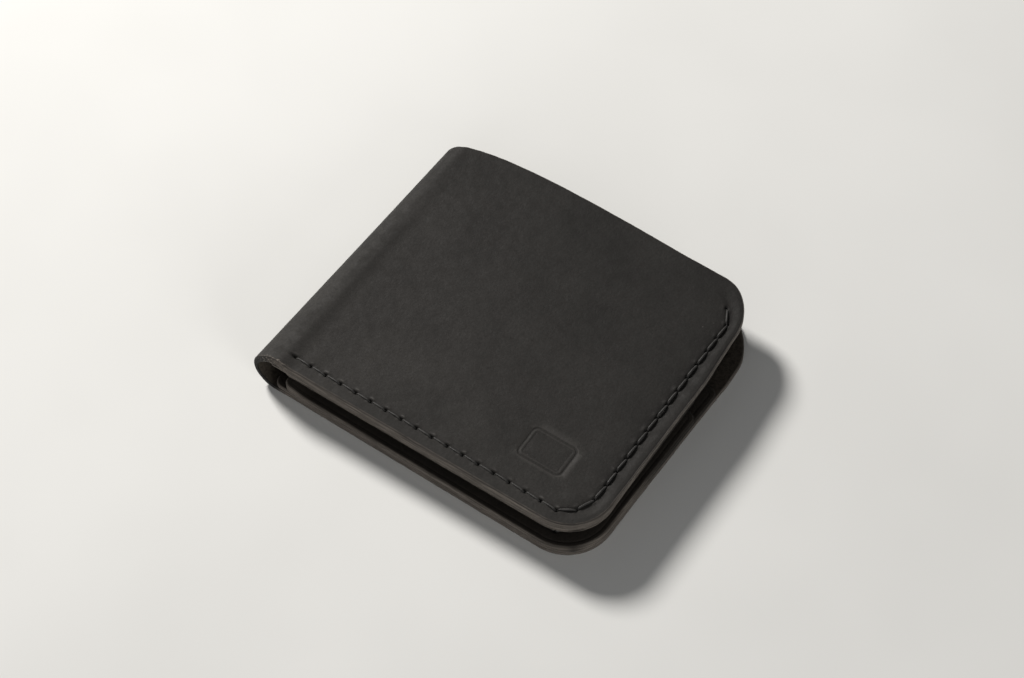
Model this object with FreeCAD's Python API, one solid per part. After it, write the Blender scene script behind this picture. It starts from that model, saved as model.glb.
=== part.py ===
import FreeCAD, Part
import math
import os

# Slim bifold wallet in waxed leather, lying closed on its back cover.
# Millimetres.  +Z up, +X from the spine to the outer edge, +Y from the
# stitched bottom edge to the open top edge.  Origin: middle of the footprint,
# on the surface the wallet lies on.
#
# One leather sheet makes the back cover, the spine fold and the front cover.
# It bends at three fold lines, so it is cut here into four solids, one for
# each stretch that stays nearly rigid.  Each half carries a bill panel and a
# card pocket, sewn to the cover by one waxed thread along the bottom and the
# outer edge.  A second thread closes the card pocket beside the spine.

# ---------------------------------------------------------------- dimensions
width = 107.0            # spine to outer edge, closed
height = 91.0            # stitched bottom edge to open top edge
thickness = 14.8         # closed, at rest

cover_t = 1.7            # cover leather
bill_panel_t = 1.0       # leather between bill compartment and card pocket
card_pocket_t = 1.1      # innermost leather
cover_corner_r = 14.0    # outer corners of both covers
cover_edge_bevel = 0.30  # burnished edge
panel_corner_r = 2.5     # small corners of the inner panels
# The cover's top edge is cut in a shallow dip across the spine.
dip_points = [(0.0, 5.6), (3.2, 4.7), (8.5, 3.0), (13.0, 2.0), (18.0, 1.2),
              (23.0, 0.65), (28.0, 0.3), (34.0, 0.08), (40.0, 0.0)]  # (from the spine, depth)

bill_panel_height = 66.5     # from the bottom edge to its top edge
card_pocket_height = 56.0    # from the bottom edge to its top edge
card_pocket_inset = 1.3      # card pocket ends this much nearer the middle

fold_count = 3               # fold lines in the spine leather
knuckle_gap = 0.40           # clearance at each fold line, beside the round end

stitch_pitch = 5.0
thread_d = 0.8
hole_d = 1.0
groove_depth = 0.55          # pressed channel that the thread lies in
thread_h = 0.45

# ------------------------------------------------------- derived dimensions
spine_ro = thickness / 2.0           # outside of the fold
spine_ri = spine_ro - cover_t        # inside of the fold
spine_rm = spine_ro - cover_t / 2.0  # middle of the leather
x_out = width / 2.0
x_arc = -width / 2.0 + spine_ro      # where the flat covers begin to curve
y_bot = -height / 2.0
y_top = height / 2.0
z_mid = thickness / 2.0
end_r = cover_t / 2.0                # round end of each spine strip
notch_r = end_r + knuckle_gap

x_bill = x_arc                       # spine-side edge of the bill panel
x_card = x_arc + card_pocket_inset   # spine-side edge of the card pocket
y_bill = y_bot + bill_panel_height
y_card = y_bot + card_pocket_height

# Stitch holes, first hole beside the spine, along the bottom edge, round the
# outer corner and up the outer edge.
seam_x0 = x_out - 97.0
seam_y0 = y_bot + 4.75
edge_holes = [(seam_x0 + stitch_pitch * k, seam_y0) for k in range(18)]
edge_holes += [(seam_x0 + 89.4, seam_y0 + 3.2), (seam_x0 + 91.6, seam_y0 + 8.3)]
edge_holes += [(seam_x0 + 91.8, seam_y0 + 13.6 + stitch_pitch * k) for k in range(13)]
edge_holes += [(seam_x0 + 89.0, seam_y0 + 78.0)]
# Holes of the seam that closes the card pocket beside the spine.
pocket_holes = [(seam_x0, seam_y0 + stitch_pitch * k) for k in range(1, 11)]


def V(x, y, z):
    return FreeCAD.Vector(x, y, z)


def rounded_plate(x0, x1, y0, y1, z0, z1, r):
    """Flat plate.  r = corner radii (x0y0, x1y0, x1y1, x0y1)."""
    a, b, c, d = r
    pts = []
    edges = []
    k = math.sqrt(0.5)

    def line(p, q):
        if p.distanceToPoint(q) > 1e-7:
            edges.append(Part.LineSegment(p, q).toShape())

    def arc(p, m, q):
        edges.append(Part.Arc(p, m, q).toShape())

    line(V(x0 + a, y0, z0), V(x1 - b, y0, z0))
    if b:
        arc(V(x1 - b, y0, z0), V(x1 - b + b * k, y0 + b - b * k, z0), V(x1, y0 + b, z0))
    line(V(x1, y0 + b, z0), V(x1, y1 - c, z0))
    if c:
        arc(V(x1, y1 - c, z0), V(x1 - c + c * k, y1 - c + c * k, z0), V(x1 - c, y1, z0))
    line(V(x1 - c, y1, z0), V(x0 + d, y1, z0))
    if d:
        arc(V(x0 + d, y1, z0), V(x0 + d - d * k, y1 - d + d * k, z0), V(x0, y1 - d, z0))
    line(V(x0, y1 - d, z0), V(x0, y0 + a, z0))
    if a:
        arc(V(x0, y0 + a, z0), V(x0 + a - a * k, y0 + a - a * k, z0), V(x0 + a, y0, z0))
    face = Part.Face(Part.Wire(edges))
    return face.extrude(V(0, 0, z1 - z0))


def arc_point(radius, angle_deg):
    """Point of the spine's cross-section: 0 where the back cover ends,
    90 at the middle of the spine, 180 where the front cover begins."""
    a = math.radians(angle_deg)
    return V(x_arc - radius * math.sin(a), y_bot, z_mid - radius * math.cos(a))


def spine_strip(a0, a1, round0, round1):
    """Bent strip of spine leather between two angles, with round or flat ends."""
    am = 0.5 * (a0 + a1)
    edges = [Part.Arc(arc_point(spine_ro, a0), arc_point(spine_ro, am),
                      arc_point(spine_ro, a1)).toShape()]
    if round1:
        c = arc_point(spine_rm, a1)
        t = math.radians(a1)
        m = c.add(V(-end_r * math.cos(t), 0, end_r * math.sin(t)))
        edges.append(Part.Arc(arc_point(spine_ro, a1), m, arc_point(spine_ri, a1)).toShape())
    else:
        edges.append(Part.LineSegment(arc_point(spine_ro, a1), arc_point(spine_ri, a1)).toShape())
    edges.append(Part.Arc(arc_point(spine_ri, a1), arc_point(spine_ri, am),
                          arc_point(spine_ri, a0)).toShape())
    if round0:
        c = arc_point(spine_rm, a0)
        t = math.radians(a0)
        m = c.add(V(end_r * math.cos(t), 0, -end_r * math.sin(t)))
        edges.append(Part.Arc(arc_point(spine_ri, a0), m, arc_point(spine_ro, a0)).toShape())
    else:
        edges.append(Part.LineSegment(arc_point(spine_ri, a0), arc_point(spine_ro, a0)).toShape())
    face = Part.Face(Part.Wire(edges))
    return face.extrude(V(0, height, 0))


def notch(angle_deg):
    """Round space that the next strip's round end turns in."""
    c = arc_point(spine_rm, angle_deg)
    return Part.makeCylinder(notch_r, height + 2, V(c.x, y_bot - 1, c.z), V(0, 1, 0))


def bar(p, q, z0, z1, w, over=0.0):
    """Straight bar of rectangular section from p to q, over = extra length."""
    dx, dy = q[0] - p[0], q[1] - p[1]
    n = math.hypot(dx, dy)
    ux, uy = dx / n, dy / n
    p = (p[0] - ux * over, p[1] - uy * over)
    q = (q[0] + ux * over, q[1] + uy * over)
    hx, hy = -uy * w / 2, ux * w / 2
    pts = [V(p[0] + hx, p[1] + hy, z0), V(p[0] - hx, p[1] - hy, z0),
           V(q[0] - hx, q[1] - hy, z0), V(q[0] + hx, q[1] + hy, z0)]
    face = Part.Face(Part.makePolygon(pts + [pts[0]]))
    return face.extrude(V(0, 0, z1 - z0))


def post(p, z0, z1, d):
    return Part.makeCylinder(d / 2, z1 - z0, V(p[0], p[1], z0))


def fuse(shapes):
    s = shapes[0].multiFuse(shapes[1:]) if len(shapes) > 1 else shapes[0]
    return s.removeSplitter()


def layer_top(y):
    """Height of the stack of leather above the cover's outside, at y."""
    t = cover_t
    if y < y_bill:
        t += bill_panel_t
    if y < y_card:
        t += card_pocket_t
    return t


# ------------------------------------------------ one half, lying face down
# The back half is built with its outside at Z = 0.  The front half is its
# mirror image about the middle of the thickness.

r = cover_corner_r
flat = rounded_plate(x_arc, x_out, y_bot, y_top, 0.0, cover_t, (0, r, r, 0))
outer_edges = []
for e in flat.Edges:
    b = e.BoundBox
    flat_z = abs(b.ZMax - b.ZMin) < 1e-6
    at_arc = b.XMax < x_arc + 1e-6
    if flat_z and not at_arc:
        outer_edges.append(e)
flat = flat.makeChamfer(cover_edge_bevel, outer_edges)

fold_angles = [180.0 / fold_count * (k + 0.5) for k in range(fold_count)]
tail = spine_strip(0.0, fold_angles[0], False, False)
cover = fuse([flat, tail]).cut(notch(fold_angles[0]))

bill_panel = rounded_plate(x_bill, x_out, y_bot, y_bill, cover_t, cover_t + bill_panel_t,
                           (panel_corner_r, r, panel_corner_r, panel_corner_r))
z_card = cover_t + bill_panel_t
card_pocket = rounded_plate(x_card, x_out, y_bot, y_card, z_card, z_card + card_pocket_t,
                            (panel_corner_r, r, panel_corner_r, panel_corner_r))

# Channels, holes and thread of the edge seam.
cuts_cover = []
cuts_bill = []
cuts_card = []
thread = []
gap = 0.05
for h in edge_holes:
    top = layer_top(h[1])
    cuts = post(h, -1, 6, hole_d)
    cuts_cover.append(cuts)
    cuts_bill.append(cuts)
    cuts_card.append(cuts)
    thread.append(post(h, gap, top - gap, thread_d))
for p, q in zip(edge_holes[:-1], edge_holes[1:]):
    # outside of the cover
    cuts_cover.append(bar(p, q, -1, groove_depth, hole_d, hole_d / 2))
    thread.append(bar(p, q, gap, gap + thread_h, thread_d, thread_d / 2))
    # inside of the half
    hp, hq = layer_top(p[1]), layer_top(q[1])
    if hp == hq:
        groove = bar(p, q, hp - groove_depth, hp + 1, hole_d, hole_d / 2)
        if hp > z_card + 0.5:
            cuts_card.append(groove)
        elif hp > cover_t + 0.5:
            cuts_bill.append(groove)
        else:
            cuts_cover.append(groove)
        thread.append(bar(p, q, hp - gap - thread_h, hp - gap, thread_d, thread_d / 2))
    else:
        # the thread steps down over the top edge of a panel
        ye = y_card if hp > z_card + 0.5 else y_bill
        f = (ye - p[1]) / (q[1] - p[1])
        e = (p[0] + (q[0] - p[0]) * f, ye)
        e1 = (e[0], ye + 0.1)
        e2 = (e[0], ye + 0.1 + 0.6)
        high = bar(p, e, hp - groove_depth, hp + 1, hole_d, hole_d / 2)
        low = bar(e, q, hq - groove_depth, hq + 1, hole_d, hole_d / 2)
        (cuts_card if hp > z_card + 0.5 else cuts_bill).append(high)
        (cuts_bill if hq > cover_t + 0.5 else cuts_cover).append(low)
        thread.append(bar(p, e2, hp - gap - thread_h, hp - gap, thread_d))
        thread.append(bar(e1, e2, hq - gap - thread_h, hp - gap, thread_d))
        thread.append(bar(e1, q, hq - gap - thread_h, hq - gap, thread_d, 0.0))
edge_thread = fuse(thread)

# Channels, holes and thread of the seam beside the spine.
seam = []
for h in pocket_holes:
    cuts = post(h, cover_t, 6, hole_d)
    cuts_bill.append(cuts)
    cuts_card.append(cuts)
    seam.append(post(h, cover_t + gap, z_card + card_pocket_t - gap, thread_d))
for p, q in zip(pocket_holes[:-1], pocket_holes[1:]):
    zt = z_card + card_pocket_t
    cuts_bill.append(bar(p, q, cover_t - 1, cover_t + groove_depth, hole_d, hole_d / 2))
    cuts_card.append(bar(p, q, zt - groove_depth, zt + 1, hole_d, hole_d / 2))
    seam.append(bar(p, q, cover_t + gap, cover_t + gap + thread_h, thread_d, thread_d / 2))
    seam.append(bar(p, q, zt - gap - thread_h, zt - gap, thread_d, thread_d / 2))
pocket_thread = fuse(seam)

# The dip in the top edge, cut straight through the folded cover.
x_spine = -width / 2.0
dip_curve = Part.BSplineCurve()
dip_curve.interpolate([V(x_spine + a, y_top - b, -1.0) for a, b in dip_points])
dip_wire = Part.Wire([
    dip_curve.toShape(),
    Part.LineSegment(V(x_spine + dip_points[-1][0], y_top, -1.0),
                     V(x_spine + dip_points[-1][0], y_top + 3.0, -1.0)).toShape(),
    Part.LineSegment(V(x_spine + dip_points[-1][0], y_top + 3.0, -1.0),
                     V(x_spine - 3.0, y_top + 3.0, -1.0)).toShape(),
    Part.LineSegment(V(x_spine - 3.0, y_top + 3.0, -1.0),
                     V(x_spine - 3.0, y_top - dip_points[0][1], -1.0)).toShape(),
    Part.LineSegment(V(x_spine - 3.0, y_top - dip_points[0][1], -1.0),
                     V(x_spine, y_top - dip_points[0][1], -1.0)).toShape(),
])
dip = Part.Face(dip_wire).extrude(V(0, 0, thickness + 2.0))

cover = cover.cut(fuse(cuts_cover)).cut(dip)
bill_panel = bill_panel.cut(fuse(cuts_bill))
card_pocket = card_pocket.cut(fuse(cuts_card))


def front(shape):
    """Mirror image of a back-half piece, for the front half."""
    return shape.mirror(V(0, 0, z_mid), V(0, 0, 1))


parts = {
    "cover_back": cover,
    "bill_panel_back": bill_panel,
    "card_pocket_back": card_pocket,
    "edge_stitching_back": edge_thread,
    "pocket_seam_back": pocket_thread,
    "cover_front": front(cover),
    "bill_panel_front": front(bill_panel),
    "card_pocket_front": front(card_pocket),
    "edge_stitching_front": front(edge_thread),
    "pocket_seam_front": front(pocket_thread),
}

# Spine leather between the outermost fold lines.  Each strip has a round end
# on the fold line it shares with the strip or cover before it.
spine_names = ["cover_spine_back", "cover_spine_front"]
for k in range(fold_count - 1):
    last = k == fold_count - 2
    s = spine_strip(fold_angles[k], fold_angles[k + 1], True, last)
    if not last:
        s = s.cut(notch(fold_angles[k + 1]))
    parts[spine_names[k]] = s.cut(dip)

os.makedirs("parts", exist_ok=True)
total = None
for name, shape in parts.items():
    solids = shape.Solids
    out = solids[0] if len(solids) == 1 else Part.makeCompound(solids)
    out.exportStep(os.path.join("parts", name + ".step"))
    b = out.BoundBox
    print("%-22s solids %d valid %s volume %9.1f  x %7.2f..%6.2f  y %7.2f..%6.2f  z %6.2f..%6.2f"
          % (name, len(solids), out.isValid(), out.Volume, b.XMin, b.XMax, b.YMin, b.YMax, b.ZMin, b.ZMax))
for k, a in enumerate(fold_angles):
    c = arc_point(spine_rm, a)
    print("fold line %d  x %.4f  z %.4f" % (k, c.x, c.z))
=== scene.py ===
import math

import bpy
import numpy as np
from mathutils import Matrix, Vector, geometry, noise


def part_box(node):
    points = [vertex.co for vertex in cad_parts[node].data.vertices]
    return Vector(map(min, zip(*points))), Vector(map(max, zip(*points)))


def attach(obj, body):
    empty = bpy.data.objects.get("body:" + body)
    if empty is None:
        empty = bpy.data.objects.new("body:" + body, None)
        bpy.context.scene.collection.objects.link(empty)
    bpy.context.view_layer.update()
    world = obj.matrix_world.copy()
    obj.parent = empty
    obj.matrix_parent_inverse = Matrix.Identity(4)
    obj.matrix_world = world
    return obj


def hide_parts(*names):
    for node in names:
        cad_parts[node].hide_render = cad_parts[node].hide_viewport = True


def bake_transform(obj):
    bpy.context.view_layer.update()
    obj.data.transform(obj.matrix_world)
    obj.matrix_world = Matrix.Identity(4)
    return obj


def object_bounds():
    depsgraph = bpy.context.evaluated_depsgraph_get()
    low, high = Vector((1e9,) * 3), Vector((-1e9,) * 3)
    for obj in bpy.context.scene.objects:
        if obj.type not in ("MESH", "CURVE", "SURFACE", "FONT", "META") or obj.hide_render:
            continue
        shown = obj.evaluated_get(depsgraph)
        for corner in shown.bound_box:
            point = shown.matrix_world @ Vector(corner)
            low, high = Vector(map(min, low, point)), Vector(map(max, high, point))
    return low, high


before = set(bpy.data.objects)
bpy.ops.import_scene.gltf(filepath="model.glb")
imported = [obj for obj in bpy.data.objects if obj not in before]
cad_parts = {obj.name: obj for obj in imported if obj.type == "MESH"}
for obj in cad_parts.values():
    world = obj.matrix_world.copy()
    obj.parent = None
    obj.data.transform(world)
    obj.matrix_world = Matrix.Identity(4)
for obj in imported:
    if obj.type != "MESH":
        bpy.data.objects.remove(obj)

cad_lo, cad_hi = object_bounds()

# --------------------------------------------------------------------------
# Sizes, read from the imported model, in millimetres.
# --------------------------------------------------------------------------
MM = 1000.0


def node_box(name):
    lo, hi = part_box(name)
    return [c * MM for c in lo], [c * MM for c in hi]


x_spine, y_bot, z_floor = [c * MM for c in cad_lo]
x_out, y_top, T = [c * MM for c in cad_hi]
bill_lo, bill_hi = node_box("bill_panel_back")
card_lo, card_hi = node_box("card_pocket_back")
seam_lo, seam_hi = node_box("edge_stitching_back")

cover_t = bill_lo[2]
z_card = card_lo[2]
z_card_top = card_hi[2]
y_bill = bill_hi[1]
y_card = card_hi[1]
corner_r = 14.0

ro = T / 2.0
rm = ro - cover_t / 2.0
x_arc = x_spine + ro
u_seam = x_arc - rm * math.radians(60.0)   # the cover's halves end here, at 60 degrees of the fold
u_mid = x_arc - rm * math.radians(90.0)    # middle of the spine

thread_r = 0.30
seam_x0 = seam_lo[0] + 0.4
seam_y0 = seam_lo[1] + 0.4 + 0.16
seam_x0 = x_out - 97.0
seam_y0 = y_bot + 4.75
pitch = 5.0
edge_holes = [(seam_x0 + pitch * k, seam_y0) for k in range(18)]
edge_holes += [(seam_x0 + 89.4, seam_y0 + 3.2), (seam_x0 + 91.6, seam_y0 + 8.3)]
edge_holes += [(seam_x0 + 91.8, seam_y0 + 13.6 + pitch * k) for k in range(13)]
edge_holes += [(seam_x0 + 89.0, seam_y0 + 78.0)]
pocket_holes = [(seam_x0, seam_y0 + pitch * k) for k in range(1, 11)]
EDGE = np.array(edge_holes)
POCKET = np.array(pocket_holes)


def smooth(a, b, x):
    t = np.clip((np.asarray(x, float) - a) / (b - a), 0.0, 1.0)
    return t * t * (3.0 - 2.0 * t)


def noise_at(x, y, scale, seed, octaves=2):
    """Smooth noise over a plane, the same each run.  scale = millimetres per feature."""
    x = np.asarray(x, float).ravel()
    y = np.asarray(y, float).ravel()
    out = np.empty(len(x))
    for i in range(len(x)):
        out[i] = noise.fractal(
            Vector((x[i] / scale + seed * 7.3, y[i] / scale - seed * 3.1, seed * 1.7)), 1.0, 2.0, octaves)
    return out


# The open top edge dips toward the spine.  Distance along the leather from
# the middle of the spine -> how far the edge stands back.
DIP_S = [0.0, 2.3, 4.5, 7.8, 11.9, 16.7, 21.6, 26.8, 31.8, 38.0, 46.0]
DIP_V = [6.2, 5.9, 5.35, 4.45, 3.15, 2.05, 1.25, 0.72, 0.38, 0.12, 0.0]


def table(xs, ys, x):
    """Smooth curve through a table, level at both ends."""
    xs, ys, x = np.array(xs, float), np.array(ys, float), np.asarray(x, float)
    m = np.gradient(ys, xs)
    m[0] = 0.0
    m[-1] = 0.0
    k = np.clip(np.searchsorted(xs, x, side="right") - 1, 0, len(xs) - 2)
    h = xs[k + 1] - xs[k]
    t = np.clip((x - xs[k]) / h, 0.0, 1.0)
    t2, t3 = t * t, t * t * t
    return ((2 * t3 - 3 * t2 + 1) * ys[k] + (t3 - 2 * t2 + t) * h * m[k]
            + (-2 * t3 + 3 * t2) * ys[k + 1] + (t3 - t2) * h * m[k + 1])


def dip(u):
    return table(DIP_S, DIP_V, np.asarray(u, float) - u_mid)


# --------------------------------------------------------------------------
# From the flat leather to the folded wallet.
# u runs along the leather (equal to X where it is flat), n is the depth below
# the outside, side is -1 for the back half and +1 for the front half.
# --------------------------------------------------------------------------
def fold_map(u, y, n, side):
    u = np.asarray(u, float)
    y = np.asarray(y, float) * np.ones_like(u)
    n = np.asarray(n, float) * np.ones_like(u)
    th = np.clip(x_arc - u, 0.0, None) / rm
    flat = u >= x_arc
    X = np.where(flat, u, x_arc - (ro - n) * np.sin(th))
    Z = np.where(flat, n, ro - (ro - n) * np.cos(th))
    if side > 0:
        Z = T - Z
    return np.stack([X, y, Z], 1)


# --------------------------------------------------------------------------
# How this wallet has settled: the fold is fuller at the stitched end than at
# the open end, and the back half lies turned a little under the front half.
# --------------------------------------------------------------------------
ARC = math.pi / 2.0 * rm                  # from the middle of the spine to the flat leather


def fold_w(deg):
    """Place along the leather, from the middle of the spine, of an angle of the fold."""
    return (deg - 90.0) / 90.0 * ARC


def flat_w(x):
    return ARC + (x - x_arc)


# place along the leather, shift in X, shift in Z, at the stitched end
NEAR = [(-flat_w(-34.0), 0.0, 0.0), (-flat_w(-40.0), 0.0, 0.0), (fold_w(0), -0.3, 0.0), (fold_w(30), -0.8, -0.84),
        (fold_w(60), -1.35, -0.95), (fold_w(90), -1.85, -1.2), (fold_w(120), -2.35, -1.2),
        (fold_w(150), -2.45, -0.7), (fold_w(180), -2.4, 0.35), (flat_w(-44.8), -1.5, 0.6),
        (flat_w(-43.4), -0.25, 0.12), (flat_w(-42.0), 0.0, -0.05), (flat_w(-40.0), 0.0, 0.0),
        (flat_w(-34.0), 0.0, 0.0)]
# and at the open end
FAR = [(-flat_w(-10.0), 0.0, 0.0), (-flat_w(-34.0), 0.25, 0.0), (fold_w(0), 0.9, 0.0), (fold_w(30), 1.3, -0.3),
       (fold_w(60), 1.9, -0.8), (fold_w(90), 2.3, -0.7), (fold_w(120), 2.35, -0.8),
       (fold_w(150), 2.1, -1.0), (fold_w(180), 1.6, -1.0), (flat_w(-40.0), 1.0, -0.85),
       (flat_w(-30.0), 0.35, -0.5), (flat_w(-20.0), 0.05, -0.2), (flat_w(-8.0), 0.0, 0.0)]
NEAR, FAR = np.array(NEAR), np.array(FAR)
# the far edge bows out a little: X, shift in Y
BOW = np.array([(-60.0, 1.85), (-47.0, 1.75), (-44.0, 1.55), (-40.0, 1.35), (-34.0, 1.15), (-26.0, 1.0), (-18.0, 0.92),
                (0.0, 0.92), (12.0, 0.80), (25.0, 0.40), (40.0, 0.30), (60.0, 0.1)])
# the outer edge of each half: Y, shift in X
OUT_FRONT = np.array([(-60.0, 0.0), (-45.0, 0.0), (-38.0, -0.2), (-30.0, -0.45), (-22.0, -0.5), (-14.0, -0.45),
                      (-5.0, -0.34), (3.0, -0.30), (10.0, -0.18), (17.0, -0.30), (24.5, -0.82), (32.0, -1.2),
                      (38.0, -1.35), (60.0, -1.35)])
OUT_BACK = np.array([(-60.0, 0.0), (-14.0, 0.0), (-4.0, 0.22), (4.0, 0.30), (12.0, 0.45), (20.0, 0.68), (28.0, 0.80),
                     (34.0, 0.25), (40.0, -0.6), (60.0, -0.8)])


def settle(P, w):
    """P = points, w = their place along the leather from the middle of the spine, negative on the back half."""
    P = np.array(P, float)
    w = np.asarray(w, float)
    X, Y, Z = P[:, 0], P[:, 1], P[:, 2]
    t = np.clip((Y - y_bot) / (y_top - 6.0 - y_bot), 0.0, 1.08)
    dX = table(NEAR[:, 0], NEAR[:, 1], w) * (1 - t) + table(FAR[:, 0], FAR[:, 1], w) * t
    dZ = table(NEAR[:, 0], NEAR[:, 2], w) * (1 - t) + table(FAR[:, 0], FAR[:, 2], w) * t
    # the back half lies turned a little under the front half
    low = 1.0 - smooth(-ARC, ARC, w)
    lin = np.clip((X - x_arc) / (x_out - x_arc), 0, 1)
    dX = dX + low * lin * (TURN * (Y + 12.0) + 0.1)
    dY = -low * TURN * (X - x_arc) * (X > x_arc)
    dY = dY + table(BOW[:, 0], BOW[:, 1], X) * smooth(8.0, y_top - 2.0, Y) * (1.0 - low * smooth(-30.0, 0.0, X))
    margin = smooth(x_out - 5.0 - 7.0 * smooth(34.0, 42.0, Y), x_out - 0.4, X)
    dX = dX + (1.0 - low) * margin * table(OUT_FRONT[:, 0], OUT_FRONT[:, 1], Y)
    dX = dX + low * margin * table(OUT_BACK[:, 0], OUT_BACK[:, 1], Y)
    return np.stack([X + dX, Y + dY, np.maximum(Z + dZ, 0.0)], 1)


TURN = 0.010


# --------------------------------------------------------------------------
# Mesh helpers.
# --------------------------------------------------------------------------
def make_object(name, verts, faces, attrs=None, sharp_faces=(), mats=(), mat_index=None):
    mesh = bpy.data.meshes.new(name)
    mesh.from_pydata([tuple(v) for v in (np.asarray(verts) / MM)], [], [tuple(int(i) for i in f) for f in faces])
    mesh.update()
    for p in mesh.polygons:
        p.use_smooth = True
    for key, val in (attrs or {}).items():
        val = np.asarray(val, np.float32)
        if val.ndim == 2:
            a = mesh.attributes.new(key, "FLOAT_VECTOR", "POINT")
            a.data.foreach_set("vector", val.ravel())
        else:
            a = mesh.attributes.new(key, "FLOAT", "POINT")
            a.data.foreach_set("value", val)
    if len(sharp_faces):
        marked = set()
        for f in sharp_faces:
            poly = mesh.polygons[f]
            poly.use_smooth = False
            marked.update(tuple(sorted(k)) for k in poly.edge_keys)
        for e in mesh.edges:
            if tuple(sorted(e.vertices)) in marked:
                e.use_edge_sharp = True
    o = bpy.data.objects.new(name, mesh)
    bpy.context.scene.collection.objects.link(o)
    for m in mats:
        mesh.materials.append(m)
    if mat_index is not None:
        mesh.polygons.foreach_set("material_index", np.asarray(mat_index, np.int32))
    return o


def set_coords(o, P):
    o.data.vertices.foreach_set("co", (np.asarray(P, float) / MM).astype(np.float32).ravel())
    o.data.update()


def triangulate(loop, inner):
    """Triangles of the region inside loop, through the inner points.  Returns point array and triangles."""
    pts = np.vstack([loop, inner]) if len(inner) else np.array(loop)
    n = len(loop)
    edges = [(i, (i + 1) % n) for i in range(n)]
    out = geometry.delaunay_2d_cdt([Vector((float(p[0]), float(p[1]))) for p in pts], edges, [], 1, 1e-5, True)
    new, _, tris, orig = out[0], out[1], out[2], out[3]
    assert len(new) == len(pts), (len(new), len(pts))
    back = [o[0] for o in orig]
    tris = [tuple(back[i] for i in t) for t in tris]
    fixed = []
    for a, b, c in tris:
        area = ((pts[b][0] - pts[a][0]) * (pts[c][1] - pts[a][1])
                - (pts[b][1] - pts[a][1]) * (pts[c][0] - pts[a][0]))
        fixed.append((a, b, c) if area > 0 else (a, c, b))
    # leave out any that span a hollow of the outline
    mid = np.array([(pts[a] + pts[b] + pts[c]) / 3.0 for a, b, c in fixed])
    keep = inside_margin(mid, loop, -1.0)
    return pts, [t for t, k in zip(fixed, keep) if k]


def inside_margin(points, loop, margin):
    """Which points lie inside the closed loop and at least margin from its corners and sides."""
    points = np.asarray(points, float)
    loop = np.asarray(loop, float)
    a, b = loop, np.roll(loop, -1, 0)
    inside = np.zeros(len(points), bool)
    near = np.full(len(points), 1e9)
    for (ax, ay), (bx, by) in zip(a, b):
        px, py = points[:, 0], points[:, 1]
        crosses = (ay > py) != (by > py)
        if ay != by:
            xi = ax + (py - ay) * (bx - ax) / (by - ay)
            inside ^= crosses & (px < xi)
        dx, dy = bx - ax, by - ay
        L = dx * dx + dy * dy
        s = np.clip(((px - ax) * dx + (py - ay) * dy) / max(L, 1e-12), 0, 1)
        near = np.minimum(near, np.hypot(px - ax - s * dx, py - ay - s * dy))
    return inside & (near > margin)


def line_fields(x, y, holes):
    """Distance to the line of stitches, and offset to the nearest hole."""
    x = np.asarray(x, float)
    y = np.asarray(y, float)
    best = np.full(x.shape, 1e9)
    for (ax, ay), (bx, by) in zip(holes[:-1], holes[1:]):
        dx, dy = bx - ax, by - ay
        L = dx * dx + dy * dy
        s = np.clip(((x - ax) * dx + (y - ay) * dy) / L, 0, 1)
        best = np.minimum(best, np.hypot(x - ax - s * dx, y - ay - s * dy))
    r = np.full(x.shape, 1e9)
    hx = np.zeros(x.shape)
    hy = np.zeros(x.shape)
    idx = np.zeros(x.shape, int)
    for k, (ax, ay) in enumerate(holes):
        d = np.hypot(x - ax, y - ay)
        m = d < r
        r = np.where(m, d, r)
        hx = np.where(m, x - ax, hx)
        hy = np.where(m, y - ay, hy)
        idx = np.where(m, k, idx)
    return best, r, hx, hy, idx


# directions along the edge seam and away from the edge, at each hole
def hole_axes(holes, inward_hint):
    h = np.asarray(holes, float)
    t = np.zeros_like(h)
    t[1:-1] = h[2:] - h[:-2]
    t[0] = h[1] - h[0]
    t[-1] = h[-1] - h[-2]
    t /= np.linalg.norm(t, axis=1)[:, None]
    inw = np.stack([-t[:, 1], t[:, 0]], 1)
    return t, inw * inward_hint


EDGE_T, EDGE_IN = hole_axes(edge_holes, 1.0)
rng = np.random.default_rng(11)
HOLE_VAR = rng.uniform(0.75, 1.25, (len(edge_holes), 4))


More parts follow.
